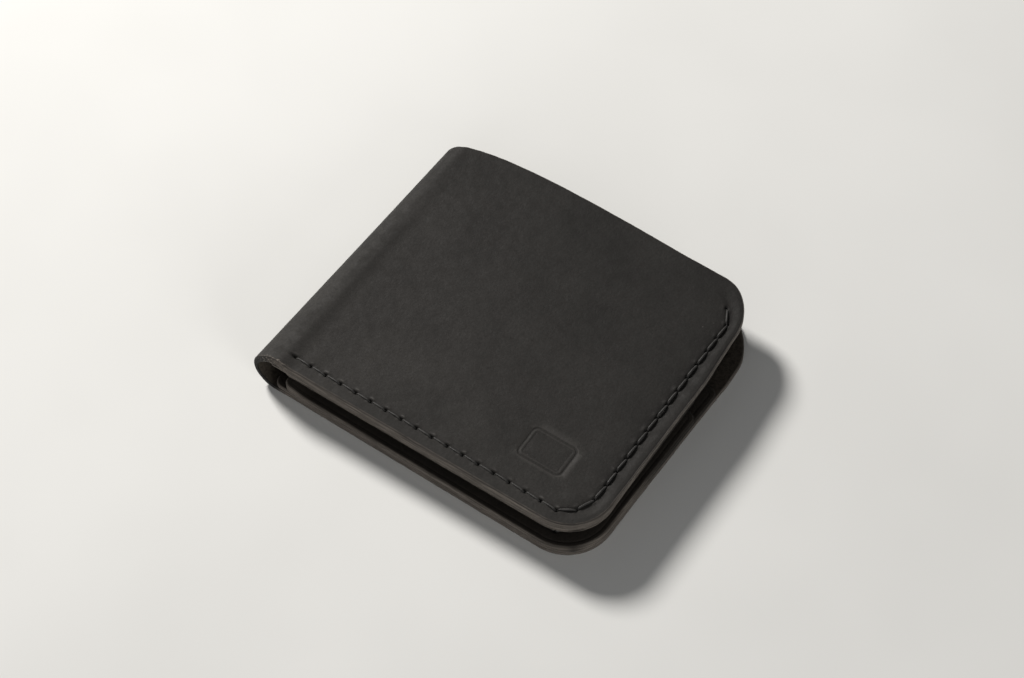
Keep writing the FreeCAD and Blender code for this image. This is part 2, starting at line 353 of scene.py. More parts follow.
def outer_relief(u, y, d, b):
    """Depth below the plain outside of the cover: seam channel, holes, puckers, the crease and crest beside the cut
    edge, the slope down to the seam and a cushion in its corner.
    """
    line, r, hx, hy, idx = line_fields(u, y, edge_holes)
    tx, ty = EDGE_T[idx, 0], EDGE_T[idx, 1]
    ix, iy = EDGE_IN[idx, 0], EDGE_IN[idx, 1]
    along = hx * tx + hy * ty
    across = hx * ix + hy * iy
    v = HOLE_VAR[idx]
    # the holes along the outer edge have closed up more
    right = smooth(x_out - 16.0, x_out - 8.0, u)
    out = 0.12 * (1.0 - 0.45 * right) * np.exp(-(line / 0.50) ** 2)
    out += 0.90 * (1.0 - 0.34 * right) * np.exp(-((along + 0.05) / (0.58 * v[:, 2] * (1.0 - 0.16 * right))) ** 2
                                                - (across / 0.44) ** 2)
    # raised leather beside each hole, away from the edge
    out -= 0.33 * v[:, 0] * np.exp(-((along - 0.10 - 0.5 * (v[:, 2] - 1.0)) / (0.70 * v[:, 3])) ** 2
                                   - ((across - 0.95 - 0.4 * (v[:, 1] - 1.0)) / 0.36) ** 2)
    # and before each hole, on the edge side
    out -= 0.15 * v[:, 1] * np.exp(-((along + 1.05) / 0.45) ** 2 - ((across + 0.62) / 0.30) ** 2)
    # crease beside the cut edge where the bevel is small, and a slight crest where it is wide
    out += 0.13 * (1.0 - b) * np.exp(-((d - 1.22) / 0.13) ** 2)
    out -= 0.05 * b * np.exp(-((d - 1.12) / 0.24) ** 2)
    # the leather slopes down to the seam from inside, more along the outer edge
    slope = (0.10 + 0.44 * right)
    inner = np.where(d > 4.9, np.exp(-np.clip(d - 4.9, 0, None) / 1.7), 1.0) * smooth(2.0, 4.6, d)
    on_seam = 1.0 - smooth(3.0, 9.0, line)
    out += slope * inner * on_seam
    # a low cushion inside the corner of the seam
    out -= 0.28 * np.exp(-(((u - (x_out - 10.5)) / 3.2) ** 2 + ((y - (y_bot + 9.5)) / 2.8) ** 2))
    return out


# --------------------------------------------------------------------------
# Blank debossed frame near the outer bottom corner of the front cover.
# --------------------------------------------------------------------------
FRAME_C = (29.7, -27.4)
FRAME_W, FRAME_H, FRAME_R, FRAME_A = 13.8, 9.6, 1.6, 0.0


def frame_distance(x, y):
    ca, sa = math.cos(FRAME_A), math.sin(FRAME_A)
    px = (x - FRAME_C[0]) * ca + (y - FRAME_C[1]) * sa
    py = -(x - FRAME_C[0]) * sa + (y - FRAME_C[1]) * ca
    qx = np.abs(px) - FRAME_W / 2 + FRAME_R
    qy = np.abs(py) - FRAME_H / 2 + FRAME_R
    return np.hypot(np.maximum(qx, 0), np.maximum(qy, 0)) + np.minimum(np.maximum(qx, qy), 0) - FRAME_R


def frame_rim(x, y):
    """The raised lips of the pressed line, where a painted highlight is laid."""
    sd = frame_distance(x, y)
    return np.exp(-((sd - 0.50) / 0.18) ** 2) + 0.7 * np.exp(-((sd + 0.52) / 0.18) ** 2)


def frame_relief(x, y):
    sd = frame_distance(x, y)
    line = np.exp(-(np.abs(sd) / 0.36) ** 4)
    line2 = np.exp(-(np.abs(sd + 1.25) / 0.20) ** 4)
    return 0.20 * line + 0.10 * line2 + 0.03 * (sd < 0)


# --------------------------------------------------------------------------
# Materials.
# --------------------------------------------------------------------------
def new_material(name):
    m = bpy.data.materials.new(name)
    m.use_nodes = True
    nt = m.node_tree
    nt.nodes.clear()
    out = nt.nodes.new("ShaderNodeOutputMaterial")
    bsdf = nt.nodes.new("ShaderNodeBsdfPrincipled")
    nt.links.new(bsdf.outputs["BSDF"], out.inputs["Surface"])
    return m, nt, bsdf


class Graph:
    def __init__(self, nt):
        self.nt = nt

    def node(self, kind, **props):
        n = self.nt.nodes.new(kind)
        for k, v in props.items():
            setattr(n, k, v)
        return n

    def link(self, a, b):
        self.nt.links.new(a, b)

    def put(self, socket, value):
        if hasattr(value, "is_output") or isinstance(value, bpy.types.NodeSocket):
            self.link(value, socket)
        else:
            socket.default_value = value

    def attr(self, name, out="Fac"):
        n = self.node("ShaderNodeAttribute", attribute_name=name)
        return n.outputs[out]

    def math(self, op, a, b=0.0, c=0.0, clamp=False):
        n = self.node("ShaderNodeMath", operation=op, use_clamp=clamp)
        self.put(n.inputs[0], a)
        self.put(n.inputs[1], b)
        self.put(n.inputs[2], c)
        return n.outputs[0]

    def vmath(self, op, a, b=(0, 0, 0)):
        n = self.node("ShaderNodeVectorMath", operation=op)
        self.put(n.inputs[0], a)
        self.put(n.inputs[1], b)
        return n.outputs[0]

    def scale(self, a, s):
        n = self.node("ShaderNodeVectorMath", operation="MULTIPLY")
        self.put(n.inputs[0], a)
        self.put(n.inputs[1], s)
        return n.outputs[0]

    def noise(self, vec, scale, detail=3.0, rough=0.55, dist=0.0):
        n = self.node("ShaderNodeTexNoise")
        self.link(vec, n.inputs["Vector"])
        n.inputs["Scale"].default_value = scale
        n.inputs["Detail"].default_value = detail
        n.inputs["Roughness"].default_value = rough
        n.inputs["Distortion"].default_value = dist
        return n.outputs["Fac"]

    def voronoi(self, vec, scale, feature="F1", rand=1.0, out="Distance"):
        n = self.node("ShaderNodeTexVoronoi", feature=feature)
        self.link(vec, n.inputs["Vector"])
        n.inputs["Scale"].default_value = scale
        n.inputs["Randomness"].default_value = rand
        return n.outputs[out]

    def ramp(self, fac, stops, interp="LINEAR"):
        n = self.node("ShaderNodeValToRGB")
        n.color_ramp.interpolation = interp
        els = n.color_ramp.elements
        while len(els) < len(stops):
            els.new(0.5)
        for e, (p, c) in zip(els, stops):
            e.position = p
            e.color = c if len(c) == 4 else (*c, 1.0)
        self.link(fac, n.inputs["Fac"])
        return n.outputs["Color"]

    def span(self, x, a, b, lo=0.0, hi=1.0):
        n = self.node("ShaderNodeMapRange", interpolation_type="SMOOTHSTEP")
        self.put(n.inputs["Value"], x)
        n.inputs["From Min"].default_value = a
        n.inputs["From Max"].default_value = b
        n.inputs["To Min"].default_value = lo
        n.inputs["To Max"].default_value = hi
        return n.outputs["Result"]

    def mix(self, fac, a, b, blend="MIX"):
        n = self.node("ShaderNodeMix", data_type="RGBA", blend_type=blend)
        self.put(n.inputs[0], fac)
        for s, v in ((n.inputs[6], a), (n.inputs[7], b)):
            if isinstance(v, bpy.types.NodeSocket):
                self.link(v, s)
            else:
                s.default_value = v if len(v) == 4 else (*v, 1.0)
        return n.outputs[2]

    def bump(self, height, strength, distance, normal=None):
        n = self.node("ShaderNodeBump")
        n.inputs["Strength"].default_value = strength
        n.inputs["Distance"].default_value = distance
        self.link(height, n.inputs["Height"])
        if normal is not None:
            self.link(normal, n.inputs["Normal"])
        return n.outputs["Normal"]


def leather(name, tone, edge_tone, seed, gloss=0.0, crest_dark=0.32, flesh_at=90.0):
    """Waxed leather.  rest = place on the leather in mm, rim = distance from the cut edge in mm,
    pit = 1 in the seam's channel and holes, where painted shade darkens them, worn = 1 where the cut edge
    is light and lower where it is darkened, as painted shade at the panels' mouths; fray = 1 where its fibres stand
    loose."""
    m, nt, bsdf = new_material(name)
    g = Graph(nt)
    rest = g.attr("rest", "Vector")
    rim = g.attr("rim")
    seam_pit_shade = g.attr("seam_pit_shade")
    edge_wear_and_shade = g.attr("edge_wear_and_shade")
    fray = g.attr("fray")
    p = g.vmath("ADD", rest, (seed * 31.0, seed * 17.0, 0.0))
    # slow wax and dye variation
    cloud = g.noise(p, 0.045, 4.0, 0.6)
    patch = g.noise(p, 0.16, 4.0, 0.62)
    fine = g.noise(p, 1.5, 3.0, 0.6)
    dots = g.noise(p, 4.2, 2.0, 0.5)
    dark = tuple(c * 0.80 for c in tone)
    light = tuple(c * 1.24 for c in tone)
    col = g.mix(g.span(cloud, 0.30, 0.72), dark, light)
    col = g.mix(g.math("MULTIPLY", g.span(patch, 0.35, 0.75), 0.45), col, tuple(c * 1.30 for c in tone))
    col = g.mix(g.math("MULTIPLY", g.span(fine, 0.35, 0.70), 0.38), col, tuple(c * 0.60 for c in tone))
    col = g.mix(g.math("MULTIPLY", g.span(dots, 0.50, 0.74), 0.48), col,
                (tone[0] * 1.75, tone[1] * 1.62, tone[2] * 1.5))
    # painted light falloff: lighter toward the stitched edge and the spine, darker toward the open and outer edges,
    # and a little darker over the middle of the spine
    sep0 = g.node("ShaderNodeSeparateXYZ")
    g.link(rest, sep0.inputs[0])
    along = g.math("ABSOLUTE", sep0.outputs[0])
    away = g.math("ADD", g.math("MULTIPLY", along, 0.5), sep0.outputs[1])
    painted_light_falloff = g.math("MULTIPLY", g.span(away, -45.0, 95.0, 1.27, 0.76), g.span(along, 3.0, 15.0, 0.86, 1.0))
    col = g.scale(col, painted_light_falloff)
    # the flesh side is browner and rougher
    flesh = g.span(sep0.outputs[2], flesh_at - 0.30, flesh_at - 0.10)
    nap = g.mix(g.span(fine, 0.35, 0.65), (0.026, 0.0215, 0.0170), (0.050, 0.0415, 0.0330))
    col = g.mix(flesh, col, nap)
    # painted highlight on the raised leather beside the stitches and on the frame's lips
    painted_highlight = g.attr("painted_highlight")
    col = g.mix(g.math("MULTIPLY", painted_highlight, 0.85), col, tuple(c * 3.6 for c in tone))
    # scuffs: faint pale hair lines and a few specks
    warp = g.node("ShaderNodeTexNoise")
    g.link(p, warp.inputs["Vector"])
    warp.inputs["Scale"].default_value = 0.07
    warp.inputs["Detail"].default_value = 2.0
    bent = g.vmath("ADD", p, g.scale(warp.outputs["Color"], (26.0, 26.0, 0.0)))
    streak = g.scale(bent, (0.055, 0.055, 0.0))
    vor = g.voronoi(streak, 1.0, "DISTANCE_TO_EDGE")
    hair = g.span(vor, 0.0, 0.0085, 1.0, 0.0)
    where = g.span(g.noise(p, 0.06, 2.0, 0.5), 0.56, 0.66)
    hair = g.math("MULTIPLY", hair, where)
    hair = g.math("MULTIPLY", hair, g.span(g.noise(p, 0.5, 2.0, 0.5), 0.40, 0.62))
    col = g.mix(g.math("MULTIPLY", hair, 0.26), col, tuple(c * 2.5 for c in tone))
    cell = g.voronoi(g.scale(p, (0.16, 0.16, 0.0)), 1.0)
    speck = g.span(cell, 0.018, 0.040, 1.0, 0.0)
    speck = g.math("MULTIPLY", speck, g.span(g.noise(p, 0.11, 1.0, 0.5), 0.52, 0.60))
    col = g.mix(g.math("MULTIPLY", speck, 0.55), col, tuple(c * 4.0 for c in tone))
    # the rim is burnished: lighter, warmer, with the layers of the cut fibre showing
    sep = g.node("ShaderNodeSeparateXYZ")
    g.link(rest, sep.inputs[0])
    layer = g.scale(p, (0.10, 0.10, 5.2))
    fibre = g.noise(layer, 1.0, 4.0, 0.65)
    blot = g.noise(p, 0.42, 4.0, 0.65)
    ecol = g.mix(g.span(fibre, 0.36, 0.66), tuple(c * 0.48 for c in edge_tone), tuple(c * 1.30 for c in edge_tone))
    ecol = g.mix(g.math("MULTIPLY", g.span(blot, 0.42, 0.72), 0.55), ecol, tuple(c * 0.62 for c in edge_tone))
    # the cut edge goes dark where the wear-and-shade mask is low: painted shade at the panels' mouths, and the cover's
    # edge round the fold
    ecol = g.mix(edge_wear_and_shade, tuple(c * 0.38 for c in tone), ecol)
    side = g.span(rim, 0.52, 0.94, 1.0, 0.0)
    col = g.mix(side, col, ecol)
    shade = g.math("MULTIPLY", g.span(rim, 0.50, 0.70), g.span(rim, 0.72, 0.86, 1.0, 0.0))
    col = g.mix(g.math("MULTIPLY", shade, 0.45), col, tuple(c * 0.9 for c in tone))
    # painted highlight on the crest of the cut edge's rounding, weaker where the edge is dark
    crest = g.math("MULTIPLY", g.span(rim, 0.78, 0.93), g.span(rim, 0.98, 1.20, 1.0, 0.0))
    crest = g.math("MULTIPLY", crest, g.span(g.noise(p, 0.30, 4.0, 0.7), 0.28, 0.60, 0.25, 1.0))
    crest = g.math("MULTIPLY", crest, g.span(edge_wear_and_shade, 0.0, 1.0, crest_dark, 0.72))
    col = g.mix(crest, col, tuple(c * 0.80 for c in edge_tone))
    # loose fibres catching the light
    loose = g.span(g.noise(g.scale(p, (1.0, 1.0, 2.0)), 1.5, 3.0, 0.65), 0.53, 0.64)
    near_rim = g.span(rim, 1.1, 1.7, 1.0, 0.0)
    loose = g.math("MULTIPLY", g.math("MULTIPLY", loose, near_rim), fray)
    col = g.mix(g.math("MULTIPLY", loose, 0.75), col, tuple(c * 1.9 for c in edge_tone))
    # painted shade in the stitch holes and along the seam's channel
    col = g.mix(g.math("MULTIPLY", seam_pit_shade, 0.62), col, tuple(c * 0.35 for c in tone))
    g.link(col, bsdf.inputs["Base Color"])
    # roughness
    rgh = g.span(g.noise(p, 0.35, 4.0, 0.6), 0.25, 0.75, 0.62 - gloss, 0.78 - gloss)
    rgh = g.math("ADD", rgh, g.math("MULTIPLY", g.math("SUBTRACT", fine, 0.5), 0.16))
    rgh = g.math("SUBTRACT", rgh, g.math("MULTIPLY", painted_highlight, 0.16))
    rgh = g.math("SUBTRACT", rgh, g.math("MULTIPLY", side, 0.06), clamp=True)
    g.link(rgh, bsdf.inputs["Roughness"])
    # grain: soft pebbles, pores and short wrinkles
    peb = g.voronoi(p, 1.15, "SMOOTH_F1")
    pore = g.span(g.voronoi(p, 1.9), 0.02, 0.26)
    grain = g.math("ADD", g.math("MULTIPLY", peb, 0.55), g.math("MULTIPLY", g.noise(p, 2.6, 4.0, 0.6), 0.75))
    grain = g.math("ADD", grain, g.math("MULTIPLY", pore, 0.22))
    fib_h = g.math("MULTIPLY", fibre, 1.1)
    mixh = g.node("ShaderNodeMix", data_type="FLOAT")
    g.link(side, mixh.inputs[0])
    g.link(grain, mixh.inputs[2])
    g.link(fib_h, mixh.inputs[3])
    wide = g.bump(g.noise(p, 0.20, 3.0, 0.55), 0.22, 0.0006)
    nrm = g.bump(mixh.outputs[0], 0.60, 0.00015, wide)
    g.link(nrm, bsdf.inputs["Normal"])
    bsdf.inputs["Specular IOR Level"].default_value = 0.14
    bsdf.inputs["Sheen Weight"].default_value = 0.015
    bsdf.inputs["Sheen Roughness"].default_value = 0.55
    return m


def thread_material():
    m, nt, bsdf = new_material("waxed_thread")
    g = Graph(nt)
    rest = g.attr("rest", "Vector")
    ply = g.attr("ply")
    tone = (0.0260, 0.0247, 0.0236)
    n1 = g.noise(rest, 0.9, 3.0, 0.6)
    n2 = g.noise(g.scale(rest, (1.0, 1.0, 1.0)), 6.0, 2.0, 0.5)
    col = g.mix(g.span(n1, 0.3, 0.7), tuple(c * 0.7 for c in tone), tuple(c * 1.5 for c in tone))
    # painted shade in the grooves between the plies
    col = g.mix(g.span(ply, 0.0, 0.55, 0.7, 0.0), col, tuple(c * 0.40 for c in tone))
    col = g.mix(g.math("MULTIPLY", g.span(n2, 0.55, 0.75), 0.35), col, tuple(c * 2.6 for c in tone))
    g.link(col, bsdf.inputs["Base Color"])
    g.link(g.span(n1, 0.25, 0.75, 0.46, 0.66), bsdf.inputs["Roughness"])
    fib = g.noise(g.scale(rest, (6.0, 6.0, 6.0)), 1.6, 3.0, 0.6)
    g.link(g.bump(fib, 0.30, 0.00008), bsdf.inputs["Normal"])
    bsdf.inputs["Specular IOR Level"].default_value = 0.30
    return m


COVER = leather("cover_leather", (0.0202, 0.0190, 0.0177), (0.1110, 0.0975, 0.0850), 1.0, 0.0, 0.32, cover_t)
POCKET_L = leather("pocket_leather", (0.0320, 0.0275, 0.0230), (0.1180, 0.1030, 0.0890), 4.0, 0.02, 0.0)
THREAD = thread_material()

# --------------------------------------------------------------------------
# Cover.  Cross-section of the cut edge, from the outside to the inside:
# (inset from the edge, depth).
# --------------------------------------------------------------------------
RD2, RN2 = 0.28, 0.26
TOP_D = [9.0, 8.1, 7.35, 6.75, 6.3, 5.95, 5.7, 5.48, 5.28, 5.08, 4.88, 4.68, 4.48, 4.28, 4.08, 3.85,
         3.55, 3.2, 2.85, 2.55, 2.3, 2.1, 1.95, 1.83, 1.72, 1.61, 1.5, 1.35, 1.2, 1.08]
RIM = [(0.98, 0.0), (0.90, 0.02), (0.83, 0.06), (0.75, 0.12), (0.60, 0.26), (0.44, 0.42), (0.28, 0.60), (0.15, 0.79),
       (0.06, 0.98), (0.01, 1.16), (0.0, 1.32)]
RIM += [(RD2 * (1 - math.sin(math.radians(a))), cover_t - RN2 * (1 - math.cos(math.radians(a)))) for a in (90, 65, 40, 18, 0)]
BOT_D = [0.55, 1.0, 1.6, 2.4, 3.2, 3.85, 4.28, 4.68, 5.08, 5.48, 5.95, 6.75, 9.0]


def section():
    d = [x for x in TOP_D] + [x[0] for x in RIM] + BOT_D
    n = [0.0] * len(TOP_D) + [x[1] for x in RIM] + [cover_t] * len(BOT_D)
    kind = [0] * len(TOP_D) + [1] * len(RIM) + [2] * len(BOT_D)
    return np.array(d), np.array(n), np.array(kind)


def cover_path():
    r = corner_r
    pts, nrm = [], []

    def add(x, y, nx, ny):
        pts.append((x, y))
        nrm.append((nx, ny))

    near = list(u_seam + np.array([0.0, 0.08, 0.2, 0.4])) + list(np.linspace(u_seam + 0.7, x_out - r, 262))
    for u in near:
        add(u, y_bot, 0, 1)
    for a in np.linspace(-90, 0, 62)[1:]:
        c, s = math.cos(math.radians(a)), math.sin(math.radians(a))
        add(x_out - r + r * c, y_bot + r + r * s, -c, -s)
    for y in np.linspace(y_bot + r, y_top - r, 178)[1:]:
        add(x_out, y, -1, 0)
    for a in np.linspace(0, 90, 42)[1:]:
        c, s = math.cos(math.radians(a)), math.sin(math.radians(a))
        add(x_out - r + r * c, y_top - r + r * s, -c, -s)
    far = list(np.linspace(x_out - r, x_arc + 4, 96)[1:]) + list(np.linspace(x_arc + 4, u_seam + 0.5, 24)[1:])
    far += list(u_seam + np.array([0.2, 0.08, 0.0]))
    for u in far:
        add(u, y_top - float(dip(u)), 0, -1)
    return np.array(pts), np.array(nrm)


SEAM_ROWS = 30
BEVEL_ROWS = 11                # rows of RIM that form the outer bevel


def bevel_near(w):
    """Share of the full bevel at the stitched edge, round the fold from the back half to the front."""
    return 0.30 + 0.70 * smooth(-ARC, ARC, w)


def bevel_share(nc, path, side):
    """Share of the full bevel along the cut edge: wide at the stitched edge of the front, small elsewhere."""
    run = np.concatenate([[0.0], np.cumsum(np.linalg.norm(np.diff(path, axis=0), axis=1))])
    start = (x_out - corner_r) - u_seam
    base = bevel_near(side * (path[:, 0] - u_mid))
    end = 0.16
    return base + (end - base) * smooth(start + 5.0, start + 34.0, run)


def shape_bevel(U, Y, N, D, K, NX, NY, B):
    """Draws the bevel in to its share, and the rows beside it out to meet it."""
    top = K == 0
    bev = (K == 1) & (N <= 1.3201) & (D <= 0.9801)
    g = np.clip((4.48 - D) / (4.48 - 1.35), 0.0, 1.0)
    out = np.where(top, 0.98 * (1.0 - B) * g, np.where(bev, D * (1.0 - B), 0.0))
    return U - NX * out, Y - NY * out, np.where(bev, N * B, N)


def cover_halves():
    path, nrm = cover_path()
    d, n, kind = section()
    nc, ns = len(path), len(d)
    ringU = path[:, 0][:, None] + nrm[:, 0][:, None] * np.maximum(d, -1)[None, :]
    ringY = path[:, 1][:, None] + nrm[:, 1][:, None] * np.maximum(d, -1)[None, :]
    # interior, inside the innermost ring
    loop = np.stack([ringU[:, 0], ringY[:, 0]], 1)
    y0, y1 = loop[0][1], loop[-1][1]
    seam_y = np.linspace(y1, y0, SEAM_ROWS + 1)[1:-1]
    seam_pts = np.stack([np.full(len(seam_y), u_seam), seam_y], 1)
    loop = np.vstack([loop, seam_pts])
    cand = []
    for u in list(np.array([0.1, 0.3])) + list(np.arange(0.65, 9.4, 0.45)) + list(np.arange(10.2, 20.0, 0.9)):
        uu = u_seam + u
        for y in np.linspace(y_top - float(dip(uu)) - 9.0, y0, SEAM_ROWS + 1)[1:-1]:
            cand.append((uu, y))
    for u in np.arange(u_seam + 21.2, x_out - 9.0, 1.6):
        for y in np.arange(y0 + 1.2, y_top - 9.2, 1.7):
            cand.append((u, y))
    cand = np.array(cand)
    # finer points over the debossed frame
    fx = np.arange(FRAME_C[0] - FRAME_W / 2 - 0.8, FRAME_C[0] + FRAME_W / 2 + 0.81, 0.2)
    fy = np.arange(FRAME_C[1] - FRAME_H / 2 - 0.8, FRAME_C[1] + FRAME_H / 2 + 0.81, 0.2)
    fine = np.array([(a, b) for a in fx for b in fy])
    hit = frame_relief(fine[:, 0], fine[:, 1])
    edge_zone = (hit > 0.032) | (np.abs(np.gradient(hit)) > 1e-4)
    fine = fine[edge_zone]
    near_frame = ((np.abs(cand[:, 0] - FRAME_C[0]) < FRAME_W / 2 + 1.1)
                  & (np.abs(cand[:, 1] - FRAME_C[1]) < FRAME_H / 2 + 1.1))
    inner_field = ((np.abs(cand[:, 0] - FRAME_C[0]) < FRAME_W / 2 - 2.4)
                   & (np.abs(cand[:, 1] - FRAME_C[1]) < FRAME_H / 2 - 2.2))
    cand = cand[~near_frame | inner_field]
    cand = cand[inside_margin(cand, loop, 0.18)]
    fine = fine[inside_margin(fine, loop, 0.18)]
    pts, tris = triangulate(loop, np.vstack([cand, fine]))
    n_ring_loop = nc                       # the first nc loop points are ring vertices
    extra = pts[nc:]
    # vertex table: rings, then interior top, then interior bottom
    U = np.concatenate([ringU.ravel(), extra[:, 0], extra[:, 0]])
    Y = np.concatenate([ringY.ravel(), extra[:, 1], extra[:, 1]])
    D = np.concatenate([np.tile(d, nc), np.full(len(extra), 9.0), np.full(len(extra), 9.0)])
    N = np.concatenate([np.tile(n, nc), np.zeros(len(extra)), np.full(len(extra), cover_t)])
    K = np.concatenate([np.tile(kind, nc), np.zeros(len(extra), int), np.full(len(extra), 2)])
    base_top = nc * ns
    base_bot = base_top + len(extra)
    rest_n = 2 * len(extra)
    NX = np.concatenate([np.repeat(nrm[:, 0], ns), np.zeros(rest_n)])
    NY = np.concatenate([np.repeat(nrm[:, 1], ns), np.zeros(rest_n)])
    B = {sd: np.concatenate([np.repeat(bevel_share(nc, path, sd), ns), np.ones(rest_n)]) for sd in (-1, 1)}

    def vid(c, s):
        return c * ns + s

    faces = []
    for c in range(nc - 1):
        for s in range(ns - 1):
            faces.append((vid(c, s), vid(c, s + 1), vid(c + 1, s + 1), vid(c + 1, s)))
    for a, b, c in tris:
        top = [vid(i, 0) if i < nc else base_top + i - nc for i in (a, b, c)]
        bot = [vid(i, ns - 1) if i < nc else base_bot + i - nc for i in (a, b, c)]
        faces.append(tuple(top))
        faces.append(tuple(reversed(bot)))
    # seam cap
    ns_seam = len(seam_y)
    cap = [vid(0, s) for s in range(ns)]                                   # near end, outside to inside
    cap += [base_bot + ns_seam - 1 - k for k in range(ns_seam)]            # inside, near to far
    cap += [vid(nc - 1, s) for s in range(ns - 1, -1, -1)]                 # far end, inside to outside
    cap += [base_top + k for k in range(ns_seam)]                          # outside, far to near
    faces.append(tuple(cap))
    return U, Y, N, D, K, NX, NY, B, faces


def relief(U, Y, N, D, K, B, front):
    """Adds the surface detail to the plain depth."""
    n = N.copy()
    rel = np.zeros_like(n)
    top = K == 0
    rel[top] = outer_relief(U[top], Y[top], D[top], B[top])
    if front:
        rel[top] += frame_relief(U[top], Y[top])
    fade = smooth(0.9, 1.5, D)
    slow = 0.10 * noise_at(U + 1000.0 * front, Y, 30.0, 3.0) + 0.035 * noise_at(U - 500.0 * front, Y, 7.0, 5.0)
    keep_seam = smooth(u_seam, u_seam + 6.0, U)
    rel += np.where(top, (slow * fade) * keep_seam, 0.0)
    rel[~top & (K == 2)] = 0.0
    # inside, above the bill panel: the thread's channel
    ins = (K == 2) & (Y > y_bill - 3)
    if ins.any():
        line, r, *_ = line_fields(U[ins], Y[ins], edge_holes)
        rel[ins] -= 0.22 * np.exp(-(line / 0.6) ** 2) + 0.5 * np.exp(-(r / 0.45) ** 2)
    # cut edge: not perfectly straight
    rim = K == 1
    rel_rim = 0.03 * noise_at(U[rim] + Y[rim], N[rim] * 6.0, 2.5, 9.0 + front)
    rel[rim] += rel_rim * smooth(0.0, 0.4, N[rim]) * smooth(cover_t, cover_t - 0.4, N[rim]) * smooth(u_seam, u_seam + 3, U[rim])
    return n + rel


def seam_pit_shade_mask(U, Y, K, on):
    # painted shade: dark in the stitch holes and faint along the seam's channel
    line, r, *_ = line_fields(U, Y, edge_holes)
    right = smooth(x_out - 16.0, x_out - 8.0, U)
    p = np.clip((0.12 - 0.08 * right) * np.exp(-(line / 0.40) ** 2)
                + (1.0 - 0.22 * right) * np.exp(-(r / (0.55 - 0.11 * right)) ** 4), 0, 1)
    return np.where(on, p, 0.0)


def painted_highlight_mask(U, Y, K, front):
    """1 on the raised leather beside the holes and just before each hole on the edge side, and on the front's frame
    lips: a painted highlight.
    """
    line, r, hx, hy, idx = line_fields(U, Y, edge_holes)
    along = hx * EDGE_T[idx, 0] + hy * EDGE_T[idx, 1]
    across = hx * EDGE_IN[idx, 0] + hy * EDGE_IN[idx, 1]
    v = HOLE_VAR[idx]
    a = np.exp(-((along - 0.10 - 0.5 * (v[:, 2] - 1.0)) / (0.62 * v[:, 3])) ** 2
               - ((across - 0.88 - 0.4 * (v[:, 1] - 1.0)) / 0.30) ** 2)
    b = 0.7 * np.exp(-((along + 0.95) / 0.36) ** 2 - ((across + 0.60) / 0.26) ** 2)
    small = np.clip((v[:, 0] - 0.70) / 0.45, 0.15, 1.0)
    right = 1.0 - 0.65 * smooth(x_out - 9.0, x_out - 6.5, U)
    out = (a + b) * small * right
    if front:
        out = out + 0.42 * frame_rim(U, Y)
    return np.where(K == 0, np.clip(out, 0, 1), 0.0)


def worn_edge(U):
    """The cut edge is light along the straight, and stays dark round the fold."""
    return smooth(x_arc - 2.6, x_arc + 1.8, U)


def frayed(U, Y, side):
    """Loose fibres where the stitched edge of the front half meets the fold, a few on the back half."""
    near_edge = 1.0 - smooth(y_bot + 2.0, y_bot + 4.0, Y)
    if side > 0:
        return near_edge * np.exp(-((U - (x_arc - 0.2)) / 3.6) ** 2)
    return near_edge * (0.75 * np.exp(-((U - (x_arc + 11.0)) / 3.0) ** 2) + 0.4 * np.exp(-((U - (x_out - 12.0)) / 2.0) ** 2))


def rim_wave(U, Y, D, K, seed):
    """Small waves of the cut edge in the plane of the leather, strongest beside the fold."""
    path_pos = U + Y
    a = 0.05 + 0.10 * np.exp(-((U - (x_arc - 1.0)) / 5.0) ** 2)
    return a * noise_at(path_pos, np.zeros_like(U), 3.2, seed) * (1.0 - smooth(0.6, 2.5, D)) * smooth(u_seam, u_seam + 2.5, U)


pieces = {}
Ua, Ya, Na, D0, K0, NX0, NY0, B0, cover_faces = cover_halves()
for side, label in ((-1, "back"), (1, "front")):
    front = side > 0
    U0, Y0, N0 = shape_bevel(Ua, Ya, Na, D0, K0, NX0, NY0, B0[side])
    n = relief(U0, Y0, N0, D0, K0, B0[side], front)
    wave = rim_wave(U0, Y0, D0, K0, 12.0 + side)
    # push the wave along the inward direction: only Y at the long edges, only X at the outer edge
    inY = np.where(Y0 < y_bot + corner_r * 0.7, 1.0, np.where(Y0 > y_top - corner_r, -1.0, 0.0))
    inX = np.where(U0 > x_out - corner_r * 0.7, -1.0, 0.0)
    Uw = U0 + wave * inX
    Yw = Y0 + wave * inY
    P = fold_map(Uw, Yw, n, side)
    faces = cover_faces if side < 0 else [tuple(reversed(f)) for f in cover_faces]
    rest = np.stack([side * (U0 - u_mid), Y0, N0], 1)
    attrs = {
        "rest": rest,
        "rim": np.where(K0 == 2, np.maximum(D0, 1.6), np.where(K0 == 1, np.maximum(D0, 0.0), D0)),
        "seam_pit_shade": seam_pit_shade_mask(U0, Y0, K0, (K0 == 0) | ((K0 == 2) & (Y0 > y_bill))),
        "edge_wear_and_shade": worn_edge(U0),
        "fray": frayed(U0, Y0, side),
        "painted_highlight": painted_highlight_mask(U0, Y0, K0, front),
    }
    # wind the faces so that their normals point out
    o = make_object("cover_leather_" + label, P, faces, attrs, sharp_faces=[len(faces) - 1], mats=[COVER])
    pieces["cover_" + label] = (o, P)


def flip_if_inside_out(o):
    me = o.data
    me.calc_loop_triangles()
    n = len(me.loop_triangles)
    idx = np.empty(n * 3, np.int32)
    me.loop_triangles.foreach_get("vertices", idx)
    co = np.empty(len(me.vertices) * 3, np.float32)
    me.vertices.foreach_get("co", co)
    t = co.reshape(-1, 3)[idx.reshape(-1, 3)].astype(float)
    vol = np.einsum("ij,ij->i", t[:, 0], np.cross(t[:, 1], t[:, 2])).sum() / 6
    if vol < 0:
        me.flip_normals()
    return abs(vol)


